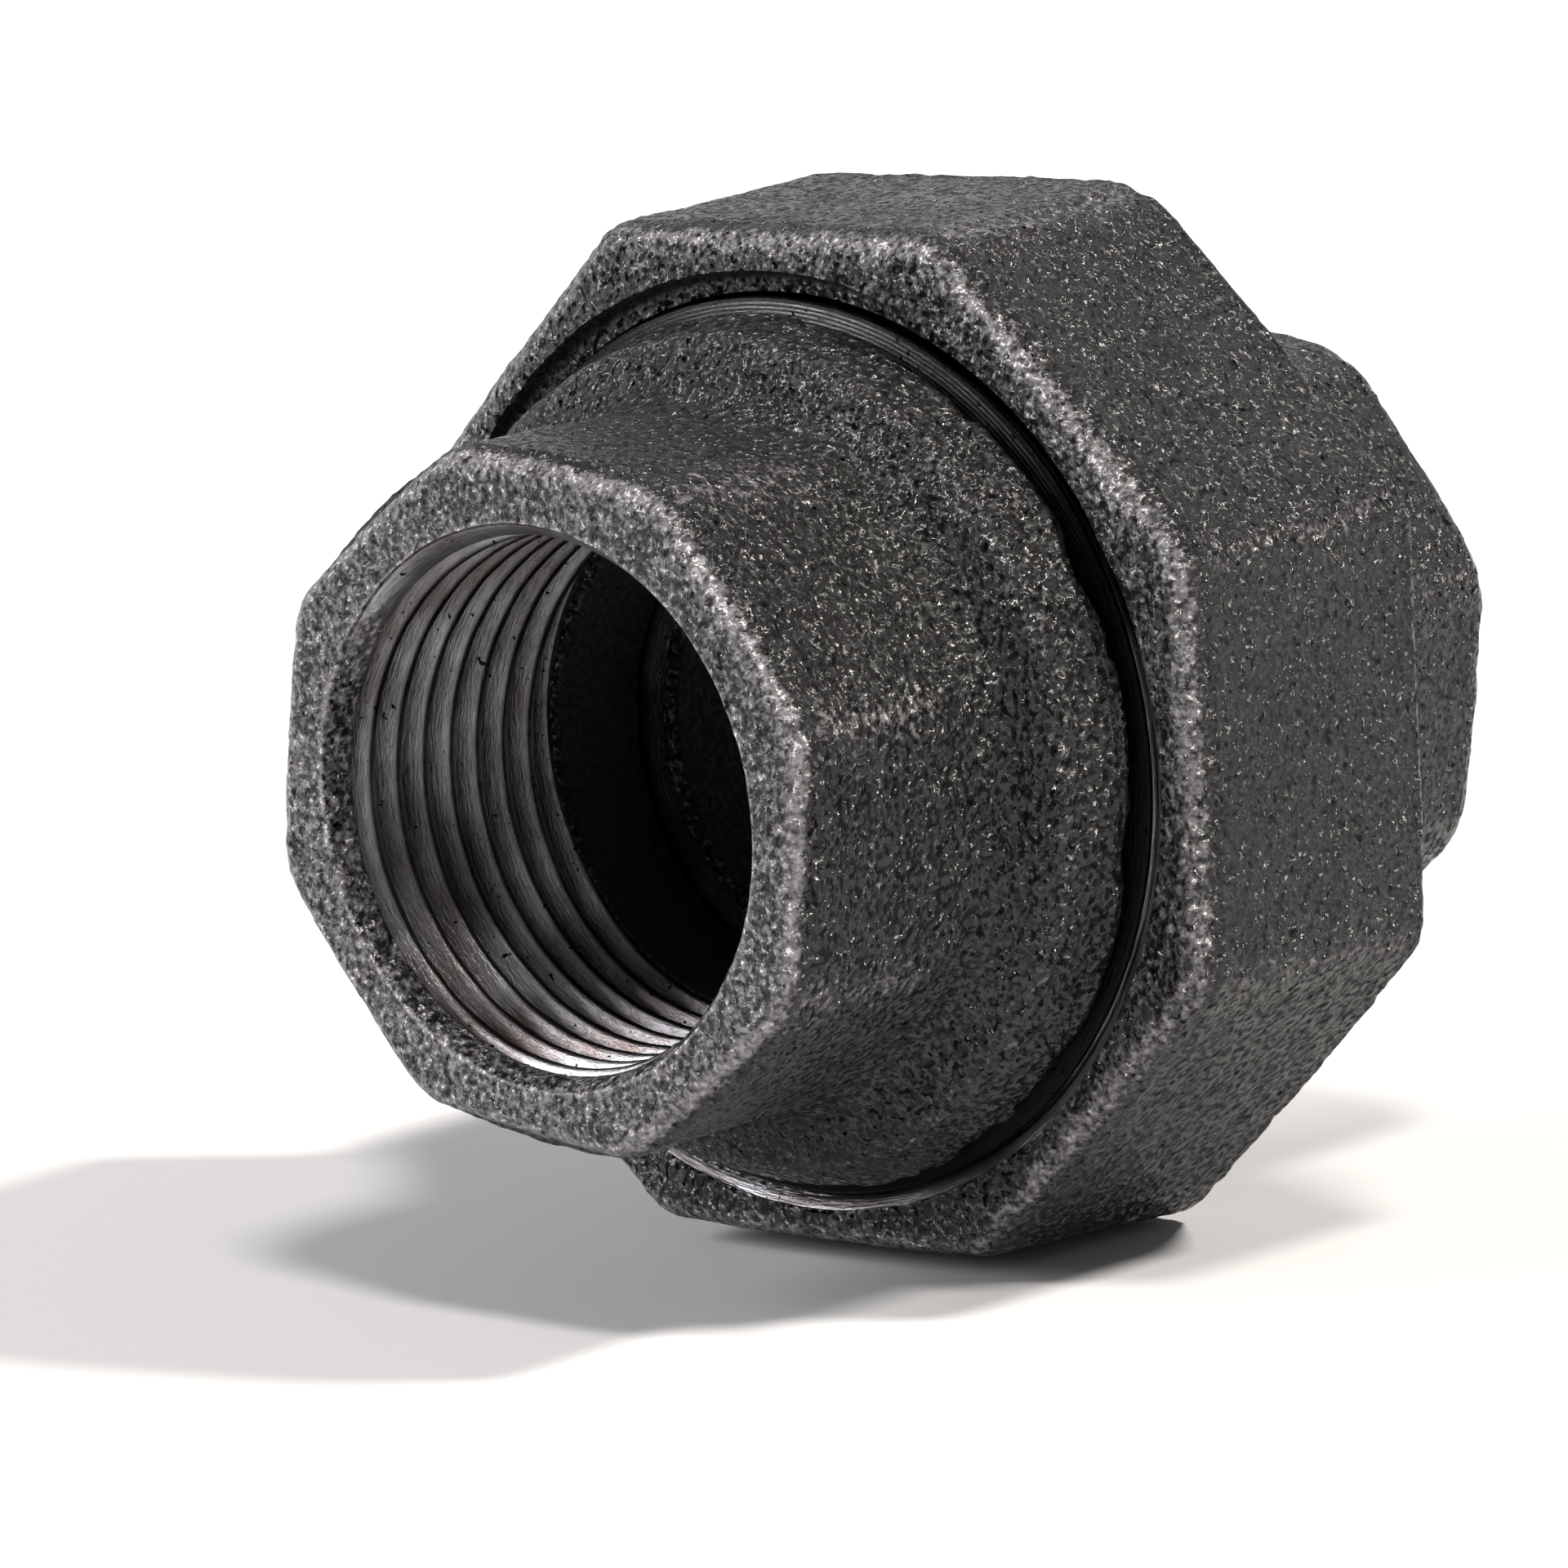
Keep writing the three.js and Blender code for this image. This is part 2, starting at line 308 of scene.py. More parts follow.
def build_piece(name, skin, material):
    """Makes the closed mesh of a skin, with its cast share and its wear value as attributes."""
    points, cast, wear = skin.grids()
    normals = grid_normals(points)
    points = points + normals * (cast * sand_relief(points))[..., None]
    rows, columns = cast.shape
    index = np.arange(rows * columns).reshape(rows, columns)
    next_row = np.roll(index, -1, axis=0)
    quads = np.stack(
        [index, next_row, np.roll(next_row, -1, axis=1), np.roll(index, -1, axis=1)],
        axis=-1,
    ).reshape(-1, 4)
    mesh = bpy.data.meshes.new(name)
    mesh.vertices.add(rows * columns)
    mesh.vertices.foreach_set("co", (points * MM).ravel())
    mesh.loops.add(quads.size)
    mesh.loops.foreach_set("vertex_index", quads.ravel())
    mesh.polygons.add(len(quads))
    mesh.polygons.foreach_set("loop_start", np.arange(len(quads)) * 4)
    mesh.polygons.foreach_set("loop_total", np.full(len(quads), 4))
    for attribute, values in (("cast", cast), ("wear", wear)):
        layer = mesh.attributes.new(attribute, "FLOAT", "POINT")
        layer.data.foreach_set("value", values.astype(np.float32).ravel())
    mesh.update(calc_edges=True)
    mesh.shade_smooth()
    mesh.materials.append(material)
    piece = bpy.data.objects.new(name, mesh)
    bpy.context.scene.collection.objects.link(piece)
    return piece


# ---- threads ---------------------------------------------------------------------------

# painted shade: the wear value of the pipe thread's crests and roots
CREST_AND_ROOT_SHADE = 0.1
SIDE_FLANK_WEAR = 0.44
LOW_FLANK_PAINTED_LIGHT = 0.56  # painted light, added at the bottom, where the light falls in through the mouth
HIGH_FLANK_PAINTED_LIGHT = 0.22  # painted light, added at the top


def ridge_height(x, theta, pitch, start, flat, depth):
    """From 0 at the root to 1 at the crest of a right-hand ridge that passes through
    (start, theta 0), crests flat millimetres wide."""
    phase = (x - start) / pitch - theta / (2.0 * math.pi)
    off_crest = np.abs(phase - np.round(phase)) * pitch
    flank = depth * FLANK_SLOPE
    slope = np.clip((off_crest - flat / 2) / flank, 0.0, 1.0)
    rounded = slope * slope * (3.0 - 2.0 * slope)
    return 1.0 - FLANK_ROUNDING * rounded - (1.0 - FLANK_ROUNDING) * slope


def pipe_thread(skin, from_x, to_x, step):
    """Rows of the internal pipe thread: bright flanks, with crests and roots painted dark as
    shade.
    The flanks are painted brightest at the bottom and a little brighter at the top, as painted
    light."""
    count = max(2, round(abs(to_x - from_x) / step))
    x = np.linspace(from_x, to_x, count, endpoint=False)
    depth = PIPE_ROOT - PIPE_CREST
    groove = ridge_height(x[:, None], skin.theta, PIPE_PITCH, PIPE_START, PIPE_ROOT_FLAT, depth)
    off_crest = np.clip(groove * 6.0, 0.0, 1.0)
    off_root = np.clip((1.0 - groove) * 3.0, 0.0, 1.0)
    height = np.cos(skin.theta)
    low = np.clip(-1.6 * height, 0.0, 1.0)
    high = np.clip(height, 0.0, 1.0)
    flank_wear_and_light = SIDE_FLANK_WEAR + LOW_FLANK_PAINTED_LIGHT * low + HIGH_FLANK_PAINTED_LIGHT * high
    wear = CREST_AND_ROOT_SHADE + (1.0 - CREST_AND_ROOT_SHADE) * off_crest * off_root * flank_wear_and_light
    skin.add(x, PIPE_CREST + depth * groove, wear=wear)


# ---- the two ends ----------------------------------------------------------------------

FACE_WEAR = 0.52
MOUTH_EDGE_WEAR = 0.35  # added at the face's inner edge
LOW_FACE_WEAR = 0.06  # added on the face's low side, taken off opposite
LOW_FACE_ANGLE = math.radians(135.0)
ROUND_WEAR = 0.55
ROUND_EDGE_WEAR = 0.4


def end_face(skin, face_x, inward, rim, rounding, centre):
    """A mouth's annular face, from its inner edge out over its rounded outer edge."""
    across = np.linspace(0.0, 1.0, 16, endpoint=False)[:, None]
    at_mouth = np.clip(1.0 - across * 9.0, 0.0, 1.0)
    low_side = LOW_FACE_WEAR * np.cos(skin.theta - LOW_FACE_ANGLE)
    skin.add(
        np.full(16, face_x),
        MOUTH_RADIUS + across * (rim - rounding - MOUTH_RADIUS),
        cast=np.clip(across * 5.0, 0.35, 1.0),
        wear=MOUTH_EDGE_WEAR * at_mouth + FACE_WEAR + low_side,
        centre=drift(across, MOUTH_OFFSET, centre),
    )
    bend = np.linspace(0.0, math.pi / 2, 10, endpoint=False)[:, None]
    skin.add(
        face_x + inward * rounding * (1 - np.cos(bend)[:, 0]),
        rim - rounding * (1 - np.sin(bend)),
        cast=1.0,
        wear=ROUND_WEAR * np.cos(bend) + ROUND_EDGE_WEAR * np.sin(2 * bend) ** 2,
        centre=centre,
    )


def mouth_recess(skin, face_x, inward):
    """The short funnel between the pipe thread and the face: cast, but turned at the top."""
    depth = np.linspace(FUNNEL_DEPTH, 0.0, 12, endpoint=False)
    above = np.clip(np.cos(skin.theta) * 2.0 - 0.6, 0.0, 1.0)
    share = 1.0 - depth / FUNNEL_DEPTH
    foot = PIPE_CREST + FUNNEL_STEP
    skin.add(
        face_x + inward * depth,
        foot + share**FUNNEL_FLARE * (MOUTH_RADIUS - PIPE_CREST - FUNNEL_STEP),
        cast=0.5 - 0.45 * above,
        wear=0.5 + 0.5 * above,
        centre=drift(share, ON_AXIS, MOUTH_OFFSET),
    )


# ---- the head --------------------------------------------------------------------------

CORNER_WEAR = 0.5
CORNER_WIDTH = 0.16  # radians
# rubbing along the bell's crease, and a painted highlight where the crease catches the light
CREASE_WEAR_AND_HIGHLIGHT = 0.3
CREASE_WIDTH = 0.7
# painted shade: the turned ring is near black all round
RING_PAINTED_SHADE = -0.35
RING_TOP_PAINTED_LIGHT = 0.28  # painted light, added where the light falls on the turned ring
TOOL_LINE_WEAR = 0.26
TURNED_WEAR = 0.3


def bell_radius(x):
    """The bell at each x: it flares out of the neck to a crease, and runs from there to the
    shoulder as a slightly conical band."""
    crease = (BELL_CREASE_X, BELL_CREASE_RADIUS)
    flare = cubic([*BELL_FLARE, crease], np.linspace(0.0, 1.0, 60))
    curve = np.vstack([flare, (SHOULDER_X, SHOULDER_RADIUS)])
    return np.interp(x, curve[::-1, 0], curve[::-1, 1])


def bitten_shoulder(theta):
    """How deep the torn edge of the casting is bitten at each angle, from 0 to 1."""
    round_edge = np.stack([20 * np.cos(theta), 20 * np.sin(theta)], axis=-1)
    place = np.concatenate([round_edge, np.zeros((theta.size, 1))], axis=-1)
    bites = np.clip(noise(place, 1.1, 21), 0.0, 1.0) + 0.6 * noise(place, 4.5, 22)
    return np.clip(bites, 0.0, 1.0)


def shoulder_swell(theta):
    """How much further out the shoulder reaches at each angle, in millimetres."""
    return SHOULDER_SWELL * np.clip(np.cos(theta - SWELL_ANGLE) * 1.5, 0.0, 1.0)


def head_sides(skin, rim):
    """The flats, running into the bell and out to the shoulder."""
    x = np.arange(HEAD_FACE - FACE_ROUND, SHOULDER_X + 0.3, -0.17)
    past_shoulder = x - SHOULDER_X
    at_edge = np.clip(1.0 - past_shoulder / BITE_REACH, 0.0, 1.0)[:, None]
    near_bell = np.clip(1.0 - past_shoulder / SWELL_REACH, 0.0, 1.0)[:, None]
    on_flats = np.clip((x - RUBBED_CORNERS_X) / 3.0, 0.0, 1.0)[:, None]
    side = smooth_max(rim, bell_radius(x)[:, None], BELL_BLEND)
    bites = BITE_DEPTH * bitten_shoulder(skin.theta) * at_edge
    corners = corner_share(skin.theta, HEAD_TURN, CORNER_WIDTH)
    crease = np.exp(-(((x - BELL_CREASE_X) / CREASE_WIDTH) ** 2))[:, None]
    share = np.clip(past_shoulder / OFFSET_REACH, 0.0, 1.0)
    skin.add(
        x,
        side - bites + shoulder_swell(skin.theta) * near_bell,
        cast=1.0,
        wear=CORNER_WEAR * corners * on_flats + CREASE_WEAR_AND_HIGHLIGHT * crease,
        centre=drift(share, SHOULDER_OFFSET, HEAD_OFFSET),
    )


def head_ring(skin):
    """The torn edge of the casting, the groove behind it, and the turned ring."""
    bites = bitten_shoulder(skin.theta)
    edge = SHOULDER_RADIUS - 0.1 - TORN_DEPTH * bites + shoulder_swell(skin.theta)
    groove = MALE_ROOT + 0.1
    back = np.linspace(0.0, 1.0, 5, endpoint=False)[:, None]
    skin.add(
        SHOULDER_X + 0.2 - 0.25 * back[:, 0],
        edge + back * (groove - edge),
        cast=0.5,
        centre=drift(1.0 - back, ON_AXIS, SHOULDER_OFFSET),
    )
    # painted light on the ring's top, over its painted shade
    lit = np.clip(np.cos(skin.theta + 0.35) * 2.0 - 0.9, 0.0, 1.0)
    for start, end, step in (
        ((SHOULDER_X - 0.05, groove), (SHOULDER_X - 0.3, groove), 0.12),
        ((SHOULDER_X - 0.3, groove), (SHOULDER_X - 0.62, RING_RADIUS - 0.08), 0.1),
        ((SHOULDER_X - 0.62, RING_RADIUS - 0.08), (SHOULDER_X - 0.7, RING_RADIUS), 0.1),
        ((SHOULDER_X - 0.7, RING_RADIUS), (RELIEF_X, RING_RADIUS), 0.15),
    ):
        x, radius = line(start, end, step)
        tool_lines = TOOL_LINE_WEAR * (np.arange(x.size) % 2)[:, None]
        skin.add(x, radius, wear=RING_PAINTED_SHADE + RING_TOP_PAINTED_LIGHT * lit + tool_lines)


def head_barrel(skin):
    """The barrel with the external joint thread."""
    x = np.arange(RELIEF_X - 0.05, BARREL_END, -0.12)
    depth = MALE_CREST - MALE_ROOT
    ridge = ridge_height(x[:, None], skin.theta, JOINT_PITCH, JOINT_START, CREST_FLAT, depth)
    lead_in = (MALE_CREST - 1.0 + x - BARREL_END)[:, None]
    radius = np.minimum(MALE_ROOT + depth * ridge, np.maximum(lead_in, MALE_ROOT))
    # painted shade: the joint thread's roots go near black, its crests stay bright
    skin.add(x, radius, wear=ridge)


def head_inside(skin):
    """The barrel's end, the conical seat, the cast bore and the pipe thread."""
    seat_end = BARREL_END + SEAT_MOUTH - HEAD_BORE
    x, radius = line((BARREL_END, MALE_ROOT), (BARREL_END, SEAT_MOUTH), 0.35)
    skin.add(x, radius, wear=0.5)
    x, radius = line((BARREL_END, SEAT_MOUTH), (seat_end, HEAD_BORE), 0.3)
    skin.add(x, radius, wear=TURNED_WEAR)
    thread_end = HEAD_FACE - PIPE_DEPTH
    # the cast bore, painted near black as shade
    x, radius = line((seat_end, HEAD_BORE), (thread_end - 0.3, HEAD_BORE), 0.2)
    skin.add(x, radius, cast=0.8, wear=DEEP_SHADE)
    pipe_thread(skin, thread_end, HEAD_FACE - FUNNEL_DEPTH, 0.09)
    mouth_recess(skin, HEAD_FACE, -1)


def make_head(material):
    skin = Skin(HEAD_COLUMNS)
    rim = octagon_radius(skin.theta, HEAD_ACROSS_FLATS, HEAD_CORNER, HEAD_CROWN, HEAD_TURN)
    end_face(skin, HEAD_FACE, -1, rim, FACE_ROUND, HEAD_OFFSET)
    head_sides(skin, rim)
    head_ring(skin)
    head_barrel(skin)
    head_inside(skin)
    return build_piece("head_casting", skin, material)


# ---- the tail --------------------------------------------------------------------------

TAIL_PAINTED_SHADE = -0.12  # painted shade: the tail's skin is painted a little darker all over


def tail_sides(skin, rim):
    """The flats, turning into the round neck that runs through the nut's lip."""
    x = np.arange(TAIL_FACE + TAIL_FACE_ROUND, COLLAR_BACK - 0.4, 0.2)
    share = np.clip((x - NECK_X) / NECK_BLEND, 0.0, 1.0)
    smooth = (share * share * (3.0 - 2.0 * share))[:, None]
    corners = corner_share(skin.theta, TAIL_TURN, CORNER_WIDTH)
    skin.add(
        x,
        rim + smooth * (NECK_RADIUS - rim),
        cast=1.0,
        wear=CORNER_WEAR * corners * (1.0 - smooth) + TAIL_PAINTED_SHADE,
        centre=drift(share, TAIL_OFFSET, ON_AXIS),
    )


def tail_nose(skin):
    """The collar inside the nut and the conical nose, both turned."""
    nose_radius = SEAT_MOUTH - (NOSE_X - BARREL_END) - SEAT_GAP * math.sqrt(2)
    nose_foot = nose_radius + NOSE_X - COLLAR_FRONT
    for start, end, step in (
        ((COLLAR_BACK, NECK_RADIUS), (COLLAR_BACK, COLLAR_RADIUS), 0.3),
        ((COLLAR_BACK, COLLAR_RADIUS), (COLLAR_FRONT, COLLAR_RADIUS), 0.3),
        ((COLLAR_FRONT, COLLAR_RADIUS), (COLLAR_FRONT, nose_foot), 0.3),
        ((COLLAR_FRONT, nose_foot), (NOSE_X, nose_radius), 0.25),
        ((NOSE_X, nose_radius), (NOSE_X, NOSE_BORE + 0.35), 0.2),
    ):
        x, radius = line(start, end, step)
        skin.add(x, radius, wear=TURNED_WEAR)


def tail_inside(skin):
    """The bore and the pipe thread. The nose is turned only on its outside, so its inner
    edge is ragged."""
    # the ragged inner edge, the bore and the cone into the pipe thread are painted dark as
    # shade
    x, radius = line((NOSE_X, NOSE_BORE + 0.35), (NOSE_X - 0.5, NOSE_BORE), 0.15)
    skin.add(x, radius, cast=1.0, wear=0.3 * DEEP_SHADE)
    thread_end = TAIL_FACE + PIPE_DEPTH
    bore_end = thread_end + 1.4
    x, radius = line((NOSE_X - 0.5, NOSE_BORE), (bore_end, NOSE_BORE), 0.22)
    skin.add(x, radius, cast=1.0, wear=DEEP_SHADE)
    x, radius = line((bore_end, NOSE_BORE), (thread_end, PIPE_CREST), 0.3)
    skin.add(x, radius, wear=0.0)
    pipe_thread(skin, thread_end, TAIL_FACE + FUNNEL_DEPTH, 0.1)
    mouth_recess(skin, TAIL_FACE, 1)


def make_tail(material):
    skin = Skin(TAIL_COLUMNS)
    rim = octagon_radius(skin.theta, TAIL_ACROSS_FLATS, TAIL_CORNER, TAIL_CROWN, TAIL_TURN)
    end_face(skin, TAIL_FACE, 1, rim, TAIL_FACE_ROUND, TAIL_OFFSET)
    tail_sides(skin, rim)
    tail_nose(skin)
    tail_inside(skin)
    return build_piece("tail_casting", skin, material)


# ---- the nut ---------------------------------------------------------------------------

NUT_FRONT_ROUND = 1.5
NUT_BACK_ROUND = 0.5
LEDGE_DEPTH = 0.7
LEDGE_SLOPE = 5.0
COUNTERBORE_DEPTH = 1.4
NUT_CHAMFER = 0.45
NICKED_CORNER = math.radians(-22.5)  # the casting's top back corner is knocked off
NICK_DEPTH = 0.35
NICK_WIDTH = 0.03
NUT_DRAFT = 0.8  # how much wider across flats the nut is at its back than in its middle
NUT_CORNER_WIDTH = 0.1  # radians
BRIGHT_FACE_SIDE = math.radians(-45.0)  # the side on which the nut's face is brightest
SHADED_SIDE = math.radians(-120.0)  # the side on which the nut's flats are painted in shade
NUT_FACE_WEAR = 0.27
BRIGHT_FACE_GAIN = 0.08
NUT_EDGE_WEAR = 0.46
NUT_BACK_WEAR = 0.3
NUT_BACK_EDGE_WEAR = 0.35
# how far painted shade darkens the flats on that side
NUT_SIDE_PAINTED_SHADE = 0.1
MOUTH_WEAR = 0.8


def rounded_edge(skin, face_x, inward, rim, rounding, outwards, face_wear, edge_wear):
    """The rounded outer edge of the nut's mouth or back, going outwards or inwards."""
    bend = np.linspace(0.0, math.pi / 2, 10, endpoint=False)[:, None]
    if not outwards:
        bend = math.pi / 2 - bend
    skin.add(
        face_x + inward * rounding * (1 - np.cos(bend)[:, 0]),
        rim - rounding * (1 - np.sin(bend)),
        cast=1.0,
        wear=face_wear * np.cos(bend) ** 2 + edge_wear * np.sin(2 * bend) ** 1.5,
        centre=NUT_OFFSET,
    )


def nut_rims(theta):
    """The octagons at the nut's mouth and at its back, where one corner is knocked off."""
    mouth = octagon_radius(theta, NUT_ACROSS_FLATS - NUT_DRAFT, NUT_CORNER, NUT_CROWN, 0.0)
    back = octagon_radius(theta, NUT_ACROSS_FLATS + NUT_DRAFT, NUT_CORNER, NUT_CROWN, 0.0)
    off_nick = (theta - NICKED_CORNER + math.pi) % (2 * math.pi) - math.pi
    return mouth, back - NICK_DEPTH * np.exp(-((off_nick / NICK_WIDTH) ** 2))


def nut_hole(x, theta):
    """The cast hole of the nut's mouth, down to the ledge that its machining left. It sits
    off the axis, and its radius is measured from the axis."""
    off_y, off_z = NUT_HOLE_OFFSET
    shift = off_z * np.cos(theta) - off_y * np.sin(theta)
    behind = (NUT_MOUTH - x)[:, None]
    below_ledge = np.maximum(behind - LEDGE_DEPTH, 0.0)
    return NUT_HOLE + shift - 0.2 * behind - LEDGE_SLOPE * below_ledge


def nut_outside(skin):
    """The mouth's face, the flats and the back face, with the rounded edges between."""
    theta = skin.theta
    mouth_rim, back_rim = nut_rims(theta)
    hole = np.maximum(nut_hole(np.array([NUT_MOUTH]), theta), NUT_TURNED + NUT_CHAMFER)
    face_wear = NUT_FACE_WEAR + BRIGHT_FACE_GAIN * np.cos(theta - BRIGHT_FACE_SIDE)
    across = np.linspace(0.0, 1.0, 14, endpoint=False)[:, None]
    skin.add(
        np.full(14, NUT_MOUTH),
        hole + across * (mouth_rim - NUT_FRONT_ROUND - hole),
        cast=1.0,
        wear=face_wear + 0.1 * across,
        centre=drift(across, ON_AXIS, NUT_OFFSET),
    )
    front = (NUT_MOUTH, -1, mouth_rim, NUT_FRONT_ROUND)
    rounded_edge(skin, *front, True, face_wear + 0.08, NUT_EDGE_WEAR)

    side_x = np.arange(NUT_MOUTH - NUT_FRONT_ROUND, NUT_BACK + NUT_BACK_ROUND, -0.19)
    share = ((NUT_MOUTH - side_x) / (NUT_MOUTH - NUT_BACK))[:, None]
    corners = corner_share(theta, 0.0, NUT_CORNER_WIDTH)
    shaded = np.clip(1.5 * np.cos(theta - SHADED_SIDE), 0.0, 1.0)
    skin.add(
        side_x,
        mouth_rim + share * (back_rim - mouth_rim),
        cast=1.0,
        wear=CORNER_WEAR * corners - NUT_SIDE_PAINTED_SHADE * shaded,
        centre=NUT_OFFSET,
    )

    back = (NUT_BACK, 1, back_rim, NUT_BACK_ROUND)
    rounded_edge(skin, *back, False, NUT_BACK_WEAR, NUT_BACK_EDGE_WEAR)
    across = np.linspace(0.0, 1.0, 38, endpoint=False)[:, None]
    skin.add(
        np.full(38, NUT_BACK),
        back_rim - NUT_BACK_ROUND + across * (LIP_BORE + 0.5 - back_rim + NUT_BACK_ROUND),
        cast=1.0,
        wear=NUT_BACK_WEAR,
        centre=drift(across, NUT_OFFSET, ON_AXIS),
    )


def nut_lip(skin):
    """The lip's cast bore, its inner face and the relief in front of it."""
    x, radius = line((NUT_BACK + 0.3, LIP_BORE), (LIP_FACE, LIP_BORE), 0.3)
    skin.add(x, radius, cast=0.7)
    x, radius = line((LIP_FACE, LIP_BORE), (LIP_FACE, NUT_RELIEF), 0.35)
    skin.add(x, radius)
    x, radius = line((LIP_FACE, NUT_RELIEF), (RELIEF_END, NUT_RELIEF), 0.35)
    skin.add(x, radius)


def nut_inside(skin):
    """The joint thread, the chamfered counterbore, and the ledge of the cast hole."""
    theta = skin.theta
    ledge_x = NUT_MOUTH - LEDGE_DEPTH
    x = np.concatenate(
        [
            np.arange(RELIEF_END + 0.1, ledge_x - 0.25, 0.12),
            np.arange(ledge_x - 0.25, ledge_x, 0.02),
            np.arange(ledge_x, NUT_MOUTH - 0.05, 0.1),
        ]
    )
    depth = FEMALE_ROOT - FEMALE_CREST
    start = JOINT_START + JOINT_PITCH / 2
    ridge = ridge_height(x[:, None], theta, JOINT_PITCH, start, CREST_FLAT, depth)
    behind = (NUT_MOUTH - x)[:, None]
    bored = NUT_TURNED - 0.3 * behind + np.maximum(NUT_CHAMFER - behind, 0.0)
    counterbore = np.where(behind < COUNTERBORE_DEPTH, bored, 0.0)
    machined = np.maximum(FEMALE_ROOT - depth * ridge, counterbore)
    hole = nut_hole(x, theta)
    radius = np.maximum(machined, hole)

    # dark above, where the wall lies in its own shade
    above = np.clip(np.cos(theta) * 2.0 - 0.1, 0.0, 1.0)
    rim_hole = nut_hole(np.array([NUT_MOUTH]), theta)
    under_wall = np.clip((radius - rim_hole + 0.55) / 0.3, 0.0, 1.0)
    skin.add(
        x,
        radius,
        cast=np.clip((hole - machined) * 5.0, 0.0, 1.0),
        wear=MOUTH_WEAR - 0.85 * above - 0.6 * under_wall * above,
    )


def make_nut(material):
    skin = Skin(NUT_COLUMNS)
    nut_outside(skin)
    nut_lip(skin)
    nut_inside(skin)
    return build_piece("nut_casting", skin, material)


# ---- iron ------------------------------------------------------------------------------

BLACK_BROWN = (0.008, 0.0075, 0.0071)
BLACK_GREY = (0.015, 0.0140, 0.0137)
GRAIN_PIT = (0.004, 0.0038, 0.0036, 1.0)
# near black: painted shade, and the pits and dark tool rings of turned metal
SHADE_AND_MARK_BLACK = (0.0015, 0.0014, 0.0013, 1.0)
BARE_IRON = (0.375, 0.364, 0.372, 1.0)
FILM_BROWN = (0.14, 0.112, 0.104)
FILM_GREY = (0.29, 0.28, 0.286)
FILM_BRIGHT = (0.56, 0.56, 0.574)
TURNED_METALLIC = 0.85
GRAIN_LEAN = 2.8
RING_STRETCH = 60.0  # what a metre along or off the axis counts for in the rings' noise
RING_TURN = 0.12  # and what a radian round the axis counts for
GRAIN_SCALE = 2500.0
CLOT_SCALE = 900.0
CRUMB_SCALE = 2700.0
LEAN_SCALE = 2900.0
PATCH_SCALE = 160.0
RING_SCALE = 110.0
FILM_SCALE = 150.0
PIT_SCALE = 2300.0
CRUMB_PER_WEAR = 0.50
CRUMB_PER_CLOT = 0.25
CRUMB_LEVEL = 0.83
CRUMB_CONTRAST = 2.5
ROUGH_PITS = 0.62
ROUGH_GRAINS = 0.24
ROUGH_BARE = 0.44
# the dull roughness of skin painted in shade
ROUGH_IN_SHADE = 0.95
ROUGH_METAL = (0.22, 0.46)  # where the film is brownest and where it is brightest
IRON_IOR = 1.46
BUMP_STRENGTH = 0.9
BUMP_DISTANCE = 0.00045


class Nodes:
    """Short ways to make and link a material's nodes."""

    def __init__(self, name):
        self.material = bpy.data.materials.new(name)
        self.material.use_nodes = True
        self.tree = self.material.node_tree
        self.shader = self.tree.nodes["Principled BSDF"]
        self.place = self.make("ShaderNodeTexCoord").outputs["Object"]

    def make(self, kind, **values):
        made = self.tree.nodes.new(kind)
        for key, value in values.items():
            setattr(made, key, value)
        return made

    def feed(self, socket, value):
        if isinstance(value, (int, float, tuple)):
            socket.default_value = value
        else:
            self.tree.links.new(value, socket)

    def math(self, operation, first, second=0.0, clamp=False):
        made = self.make("ShaderNodeMath", operation=operation, use_clamp=clamp)
        self.feed(made.inputs[0], first)
        self.feed(made.inputs[1], second)
        return made.outputs[0]

    def vector(self, operation, first, second):
        made = self.make("ShaderNodeVectorMath", operation=operation)
        self.feed(made.inputs[0], first)
        self.feed(made.inputs[1], second)
        return made.outputs[0]

    def attribute(self, name):
        return self.make("ShaderNodeAttribute", attribute_name=name).outputs["Fac"]

    def noise(self, place, scale, detail=2.0, roughness=0.5):
        made = self.make("ShaderNodeTexNoise")
        made.inputs["Scale"].default_value = scale
        made.inputs["Detail"].default_value = detail
        made.inputs["Roughness"].default_value = roughness
        self.feed(made.inputs["Vector"], place)
        return made.outputs["Fac"], made.outputs["Color"]

    def ramp(self, value, *stops):
        made = self.make("ShaderNodeValToRGB")
        self.feed(made.inputs["Fac"], value)
        elements = made.color_ramp.elements
        while len(elements) < len(stops):
            elements.new(0.5)
        for element, (place, colour) in zip(elements, stops):
            element.position = place
            element.color = (*colour, 1.0)
        return made.outputs["Color"]

    def step(self, value, low, high):
        """0 at low and beyond it, 1 at high and beyond it. Low may be the greater."""
        made = self.make("ShaderNodeMapRange", clamp=True)
        self.feed(made.inputs["Value"], value)
        made.inputs["From Min"].default_value = low
        made.inputs["From Max"].default_value = high
        return made.outputs["Result"]

    def mix(self, share, first, second, kind="RGBA"):
        made = self.make("ShaderNodeMix", data_type=kind)
        sockets = [socket for socket in made.inputs if socket.enabled]
        for socket, value in zip(sockets, (share, first, second)):
            self.feed(socket, value)
        return next(socket for socket in made.outputs if socket.enabled)


